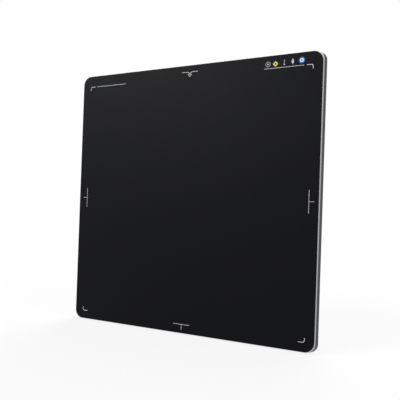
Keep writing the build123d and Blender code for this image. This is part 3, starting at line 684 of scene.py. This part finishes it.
rear_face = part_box("rear_housing")[1].y
lock_middle = (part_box("battery_lock_right")[0].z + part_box("battery_lock_right")[1].z) / 2
padlock_rise = 0.0095
padlock_closed_x = 0.1197
padlock_open_x = 0.1355
padlock_width = 0.0046
padlock_height = 0.0034
padlock_corner = 0.0005
shackle_radius = 0.0014
shackle_leg = 0.0008
shackle_lift = 0.0011
shackle_wire = 0.0006


def rounded_outline(left, bottom, right, top, corner):
    """Outline of a rounded rectangle."""
    corners = ((right, top, 0), (left, top, 90), (left, bottom, 180), (right, bottom, 270))
    outline = []
    for x, z, angle in corners:
        inner = (x - corner if x == right else x + corner, z - corner if z == top else z + corner)
        outline += bend(inner, corner, angle, angle + 90)
    return outline


def padlock(shape, x, z, lift):
    """Padlock sign on the rear face. A lifted shackle shows it open."""
    half = padlock_width / 2
    body = rounded_outline(x - half, z - padlock_height, x + half, z, padlock_corner)
    blob(shape, body, face=rear_face)
    arch = bend((x, z + shackle_leg + lift), shackle_radius, 0, 180, 2 * bend_steps)
    foot = (x - shackle_radius, z + lift)
    stroke(shape, [(x + shackle_radius, z), *arch, foot], width=shackle_wire, face=rear_face)


rear_grey_ink = ink_of("rear_grey_ink", (0.36, 0.365, 0.37))
padlocks = bmesh.new()
for side in (-1, 1):
    padlock(padlocks, side * padlock_closed_x, lock_middle + padlock_rise, 0.0)
    padlock(padlocks, side * padlock_open_x, lock_middle + padlock_rise, shackle_lift)
print_piece("padlock_signs", padlocks, rear_grey_ink, "panel", towards=1)

# Screws and small steel plates
# Stainless steel machine screws with a hexagon socket, turned and passivated, and the stamped
# plates that keep the sliding locks in.

screw_steel = finish_of(
    "screw_steel",
    (0.52, 0.52, 0.53),
    0.3,
    shade=0.12,
    spread=0.12,
    fineness=4000.0,
    bump=0.000004,
    metallic=1.0,
)
dress(screw_steel, "edge_screws", "pillar_screws", "board_screws", "lock_screws")

stamped_steel = finish_of(
    "stamped_steel",
    (0.48, 0.48, 0.49),
    0.36,
    shade=0.14,
    spread=0.14,
    fineness=1400.0,
    bump=0.000004,
    metallic=1.0,
    stretch=(0.06, 1.0, 1.0),
)
dress(stamped_steel, "lock_retainers")

# Rating plate
# A bare aluminium foil plate, brushed lengthwise and glued into its pocket. Only the frame and
# the empty fields are printed on it.

brushed_foil = finish_of(
    "brushed_foil",
    (0.50, 0.51, 0.52),
    0.38,
    shade=0.14,
    spread=0.16,
    fineness=2600.0,
    bump=0.000003,
    metallic=0.7,
    stretch=(0.03, 1.0, 1.0),
)
dress(brushed_foil, "id_plate")

plate_low, plate_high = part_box("id_plate")
print_inset = 0.0030
print_line = 0.0004
band_height = 0.0070
field_rows = 4
column_share = 0.62
print_corner = 0.0015

frame_left = plate_low.x + print_inset
frame_right = plate_high.x - print_inset
frame_bottom = plate_low.z + print_inset
frame_top = plate_high.z - print_inset
band_bottom = frame_top - band_height
column = frame_left + column_share * (frame_right - frame_left)
row_height = (band_bottom - frame_bottom) / field_rows
plate_face = plate_high.y

label_print = bmesh.new()
label_frame = rounded_outline(frame_left, frame_bottom, frame_right, frame_top, print_corner)
stroke(label_print, label_frame, width=print_line, closed=True, face=plate_face)
print_gap = 3 * print_line
blob(
    label_print,
    rounded_outline(
        frame_left + print_gap,
        band_bottom,
        frame_right - print_gap,
        frame_top - print_gap,
        print_corner / 2,
    ),
    face=plate_face,
)
for row in range(1, field_rows):
    z = frame_bottom + row * row_height
    row_line = [(frame_left + print_gap, z), (column - print_gap, z)]
    stroke(label_print, row_line, width=print_line, face=plate_face)
stroke(
    label_print,
    [(column, frame_bottom + print_gap), (column, band_bottom - print_gap)],
    width=print_line,
    face=plate_face,
)
dark_ink = ink_of("dark_ink", (0.060, 0.062, 0.068))
print_piece("label_print", label_print, dark_ink, "panel", towards=1)

# Antenna windows
# Black polycarbonate bars that let the radio through the metal housing, each held by a flange
# inside. An antenna lies behind each of them.

window_plastic = finish_of(
    "window_plastic", (0.018, 0.018, 0.020), 0.45, shade=0.12, spread=0.10, fineness=3200.0, bump=0.00001
)
dress(window_plastic, "antenna_window_left", "antenna_window_right")

# Battery pack
# A thin casing of moulded plastic with a lid that lies flush in the rear face. The lid is
# spark-eroded in its mould and a little rubbed at its rim, and has a battery sign and an arrow
# towards the finger recess.

lid_corner = 0.004
lid_plastic = finish_of(
    "lid_plastic",
    (0.030, 0.031, 0.034),
    0.5,
    shade=0.14,
    spread=0.12,
    fineness=3000.0,
    bump=0.00003,
    specular=0.35,
    rim_wear_and_highlight={
        "edge": rim_of("battery_lid", lid_corner, at_back=True, width=0.0006, amount=0.5),
        "colour": (0.10, 0.10, 0.105),
        "roughness": -0.12,
    },
)
dress(lid_plastic, "battery_lid")
casing_plastic = finish_of(
    "casing_plastic", (0.020, 0.020, 0.022), 0.5, shade=0.14, spread=0.12, fineness=3000.0, bump=0.00001
)
dress(casing_plastic, "battery_casing", "contact_block")

lid_low, lid_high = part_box("battery_lid")
lid_face = lid_high.y
sign_top = lid_high.z - 0.0100
sign_half = 0.0075
sign_height = 0.0080
sign_line = 0.0006
sign_corner = 0.0010
small_corner = 0.0003
nub_width = 0.0010
nub_half = 0.0016
bar_count = 3
bar_width = 0.0026
bar_gap = 0.0016
pull_arrow_z = lid_low.z + 0.0250
pull_arrow_half = 0.0035
pull_arrow_height = 0.0035

lid_signs = bmesh.new()
sign_bottom = sign_top - sign_height
sign_middle = (sign_top + sign_bottom) / 2
outline = rounded_outline(-sign_half, sign_bottom, sign_half, sign_top, sign_corner)
stroke(lid_signs, outline, width=sign_line, closed=True, face=lid_face)
nub_left = sign_half + sign_line
nub = rounded_outline(
    nub_left, sign_middle - nub_half, nub_left + nub_width, sign_middle + nub_half, small_corner
)
blob(lid_signs, nub, face=lid_face)
for bar in range(bar_count):
    left = -sign_half + bar_gap + bar * (bar_width + bar_gap)
    right = left + bar_width
    cell = rounded_outline(left, sign_bottom + bar_gap, right, sign_top - bar_gap, small_corner)
    blob(lid_signs, cell, face=lid_face)
pull_arrow = [
    (-pull_arrow_half, pull_arrow_z + pull_arrow_height),
    (pull_arrow_half, pull_arrow_z + pull_arrow_height),
    (0.0, pull_arrow_z),
]
blob(lid_signs, pull_arrow, face=lid_face)
print_piece("lid_signs", lid_signs, rear_grey_ink, "battery_pack", towards=1)

# Battery cells
# Flat lithium cells in silver laminated foil, which is creased a little by its filling.

cell_foil = finish_of(
    "cell_foil",
    (0.60, 0.61, 0.62),
    0.33,
    shade=0.12,
    spread=0.18,
    fineness=160.0,
    bump=0.00012,
    metallic=0.9,
)
dress(cell_foil, "battery_cells")

# Contacts
# Gold-plated bronze.

gold_plate = finish_of(
    "gold_plate",
    (0.83, 0.60, 0.22),
    0.25,
    shade=0.08,
    spread=0.10,
    fineness=6000.0,
    bump=0.000002,
    metallic=1.0,
)
dress(gold_plate, "battery_terminals", "contact_blades", "tether_contacts")

# Sliding locks
# Moulded in a lighter grey plastic, so that they are found at a glance.

lock_plastic = finish_of(
    "lock_plastic", (0.20, 0.205, 0.21), 0.5, shade=0.1, spread=0.1, fineness=3000.0, bump=0.00001
)
dress(lock_plastic, "battery_lock_left", "battery_lock_right")

# Power button
# A moulded cap in the left-hand edge, with a ring and bar sign printed on it.

button_plastic = finish_of(
    "button_plastic", (0.30, 0.305, 0.31), 0.4, shade=0.08, spread=0.08, fineness=3000.0, bump=0.000006
)
dress(button_plastic, "power_button")

button_low, button_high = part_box("power_button")
power_sign_x = -(button_low.y + button_high.y) / 2
power_sign_z = (button_low.z + button_high.z) / 2
power_sign_radius = 0.0014
power_sign_line = 0.00035
power_sign_open = 35.0
power_bar_reach = 1.3

power_sign = bmesh.new()
ring = bend(
    (power_sign_x, power_sign_z),
    power_sign_radius,
    90 + power_sign_open,
    450 - power_sign_open,
    4 * bend_steps,
)
stroke(power_sign, ring, width=power_sign_line, face=button_low.x)
bar_top = power_sign_z + power_bar_reach * power_sign_radius
power_bar = [(power_sign_x, power_sign_z), (power_sign_x, bar_top)]
stroke(power_sign, power_bar, width=power_sign_line, face=button_low.x)
print_piece("power_sign", power_sign, dark_ink, "button", turn=math.radians(-90))

# Status light
# A milky bar in the edge that carries the light of three small lamps on the board behind it.

guide_plastic = finish_of(
    "guide_plastic", (0.62, 0.66, 0.66), 0.3, shade=0.05, spread=0.05, fineness=2000.0, bump=0.000002
)
dress(guide_plastic, "light_guide", "status_lights")

# Magnetic port
# A black moulded shell in the edge with nickel-plated magnets. The switch behind the power button
# is moulded in the same plastic.

port_plastic = finish_of(
    "port_plastic", (0.022, 0.022, 0.024), 0.42, shade=0.12, spread=0.12, fineness=3400.0, bump=0.000008
)
dress(port_plastic, "tether_shell", "button_switch")
nickel_plate = finish_of(
    "nickel_plate",
    (0.62, 0.60, 0.56),
    0.2,
    shade=0.08,
    spread=0.1,
    fineness=5000.0,
    bump=0.000002,
    metallic=1.0,
)
dress(nickel_plate, "tether_magnets")

# Layers behind the front plate
# Open-cell foam, the white layer that turns x-rays to light, the glass that reads it, a rolled
# lead sheet and the chromated magnesium plate that carries them, with its turned posts.

foam_skin = finish_of(
    "foam_skin",
    (0.05, 0.05, 0.055),
    0.95,
    shade=0.45,
    spread=0.05,
    fineness=1300.0,
    bump=0.00015,
    specular=0.2,
)
dress(foam_skin, "foam_pad")
phosphor_white = finish_of(
    "phosphor_white", (0.76, 0.76, 0.70), 0.8, shade=0.05, spread=0.08, fineness=3600.0, bump=0.00001
)
dress(phosphor_white, "scintillator_panel")
rolled_lead = finish_of(
    "rolled_lead",
    (0.24, 0.25, 0.27),
    0.5,
    shade=0.25,
    spread=0.2,
    fineness=900.0,
    bump=0.00001,
    metallic=0.9,
    stretch=(1.0, 1.0, 0.05),
)
dress(rolled_lead, "lead_shield")
chromated_magnesium = finish_of(
    "chromated_magnesium",
    (0.44, 0.42, 0.35),
    0.42,
    shade=0.18,
    spread=0.14,
    fineness=2200.0,
    bump=0.000008,
    metallic=0.8,
)
dress(chromated_magnesium, "support_plate", "support_pillars", "board_standoffs")

wave_radians = 20.0
conductor_border = (0.45, 0.65)


def lined_finish(name, base, line, axis, pitch, roughness, bump=0.000004):
    """Film or glass with fine printed conductors, a pitch apart along an axis.

    The wave texture turns by wave_radians in a metre at a scale of one.
    """
    finish, tree, shader, place = start_finish(name)
    wave = tree.nodes.new("ShaderNodeTexWave")
    wave.bands_direction = axis
    wave.inputs["Scale"].default_value = 2 * math.pi / (wave_radians * pitch)
    tree.links.new(place, wave.inputs["Vector"])
    conductor = fade(tree, wave.outputs["Fac"], *conductor_border, 0.0, 1.0)
    values = {
        "Place": place,
        "Colour": (*base, 1),
        "Shade": 0.1,
        "Roughness": roughness,
        "Spread": 0.08,
        "Fineness": 1500.0,
    }
    grain = add_group(tree, surface_grain, values)
    colour = mix_colours(tree, conductor, grain["Colour"], (*line, 1))
    end_finish(tree, shader, colour, grain["Roughness"], conductor, bump)
    return finish


pixel_glass = lined_finish(
    "pixel_glass", (0.030, 0.038, 0.042), (0.055, 0.070, 0.075), "X", 0.0006, 0.10, bump=0.0000005
)
dress(pixel_glass, "tft_glass_panel")

# Boards
# Glass-fibre boards under green lacquer, with copper tracks beneath it and gilded through-holes.
# The two antennas are strips of the same board.

track_layout = {
    "Scale": 500.0,
    "Mortar Size": 0.09,
    "Mortar Smooth": 0.1,
    "Brick Width": 7.0,
    "Row Height": 0.55,
}
block_fineness = 55.0
block_border = (0.49, 0.51)
hole_fineness = 330.0
hole_border = (0.10, 0.14)
cluster_fineness = 80.0
cluster_border = (0.50, 0.52)
sheen_fineness = 300.0
sheen_spread = 0.16
sheen_least = 0.26
track_relief = 0.00002


def make_board_group():
    """Tracks and through-holes of a circuit board in the X and Y of the given place."""
    tree, given, result = new_group(
        "circuit_board",
        {"Place": "Vector", "Lacquer": "Color", "Track": "Color", "Gold": "Color"},
        {"Colour": "Color", "Roughness": "Float", "Height": "Float"},
    )
    turned = tree.nodes.new("ShaderNodeMapping")
    turned.inputs["Rotation"].default_value = (0.0, 0.0, math.radians(90))
    tree.links.new(given["Place"], turned.inputs["Vector"])
    runs = []
    for place in (given["Place"], turned.outputs[0]):
        brick = tree.nodes.new("ShaderNodeTexBrick")
        for name, value in track_layout.items():
            brick.inputs[name].default_value = value
        tree.links.new(place, brick.inputs["Vector"])
        runs.append(brick.outputs["Fac"])
    blocks = noise(tree, given["Place"], block_fineness, 0.0)
    across = fade(tree, blocks, *block_border, 0.0, 1.0)
    along = sum_up(tree, "SUBTRACT", 1.0, across)
    track = sum_up(tree, "MULTIPLY_ADD", runs[0], along, sum_up(tree, "MULTIPLY", runs[1], across))
    cells = tree.nodes.new("ShaderNodeTexVoronoi")
    cells.inputs["Scale"].default_value = hole_fineness
    tree.links.new(given["Place"], cells.inputs["Vector"])
    hole = fade(tree, cells.outputs["Distance"], *hole_border, 1.0, 0.0)
    clusters = noise(tree, given["Place"], cluster_fineness, 1.0)
    hole = sum_up(tree, "MULTIPLY", hole, fade(tree, clusters, *cluster_border, 0.0, 1.0))
    lacquered = mix_colours(tree, track, given["Lacquer"], given["Track"])
    tree.links.new(mix_colours(tree, hole, lacquered, given["Gold"]), result["Colour"])
    sheen_noise = noise(tree, given["Place"], sheen_fineness, 2.0)
    sheen = sum_up(tree, "MULTIPLY_ADD", sheen_noise, sheen_spread, sheen_least)
    tree.links.new(sheen, result["Roughness"])
    tree.links.new(sum_up(tree, "MAXIMUM", track, hole), result["Height"])
    return tree


circuit_board = make_board_group()


def board_finish(name, rotation):
    """Material of a green board. The rotation lays its face in the X and Y of the pattern."""
    finish, tree, shader, place = start_finish(name)
    face = tree.nodes.new("ShaderNodeMapping")
    face.inputs["Rotation"].default_value = rotation
    tree.links.new(place, face.inputs["Vector"])
    values = {
        "Place": face.outputs[0],
        "Lacquer": (0.010, 0.085, 0.038, 1),
        "Track": (0.022, 0.150, 0.062, 1),
        "Gold": (0.65, 0.47, 0.18, 1),
    }
    board = add_group(tree, circuit_board, values)
    end_finish(tree, shader, board["Colour"], board["Roughness"], board["Height"], track_relief)
    return finish


upright_board = board_finish("upright_board", (math.radians(90), 0.0, 0.0))
dress(
    upright_board,
    "main_board",
    "power_board",
    "wireless_board",
    "readout_board_left",
    "readout_board_right",
    "gate_board",
    "battery_board",
    "antenna_left",
    "antenna_right",
)
edge_board = board_finish("edge_board", (0.0, math.radians(90), 0.0))
dress(edge_board, "side_board", "port_board")

# Parts on the boards
# Moulded black chips, coils with dark ferrite tops, a soft silicone pad that carries heat to the
# housing, and the tinned can of the radio.

chip_epoxy = finish_of(
    "chip_epoxy", (0.020, 0.020, 0.021), 0.55, shade=0.15, spread=0.12, fineness=4200.0, bump=0.000006
)
dress(chip_epoxy, "main_chips")
ferrite = finish_of(
    "ferrite", (0.045, 0.043, 0.042), 0.6, shade=0.2, spread=0.1, fineness=2400.0, bump=0.00001
)
dress(ferrite, "power_parts")
silicone_pad = finish_of(
    "silicone_pad", (0.36, 0.47, 0.55), 0.7, shade=0.08, spread=0.08, fineness=1600.0, bump=0.00001
)
dress(silicone_pad, "heat_pad")
tinned_can = finish_of(
    "tinned_can",
    (0.60, 0.60, 0.58),
    0.28,
    shade=0.1,
    spread=0.14,
    fineness=1800.0,
    bump=0.000003,
    metallic=1.0,
    stretch=(0.05, 1.0, 1.0),
)
dress(tinned_can, "wireless_can")

# Film connectors and flat cables
# Amber polyimide film with copper conductors laminated in it.

film_amber = (0.46, 0.20, 0.035)
film_copper = (0.62, 0.34, 0.14)
readout_film = lined_finish("readout_film", film_amber, film_copper, "X", 0.0008, 0.3)
dress(readout_film, "readout_flexes")
gate_film = lined_finish("gate_film", film_amber, film_copper, "Z", 0.0008, 0.3)
dress(gate_film, "gate_flexes", "board_cables")
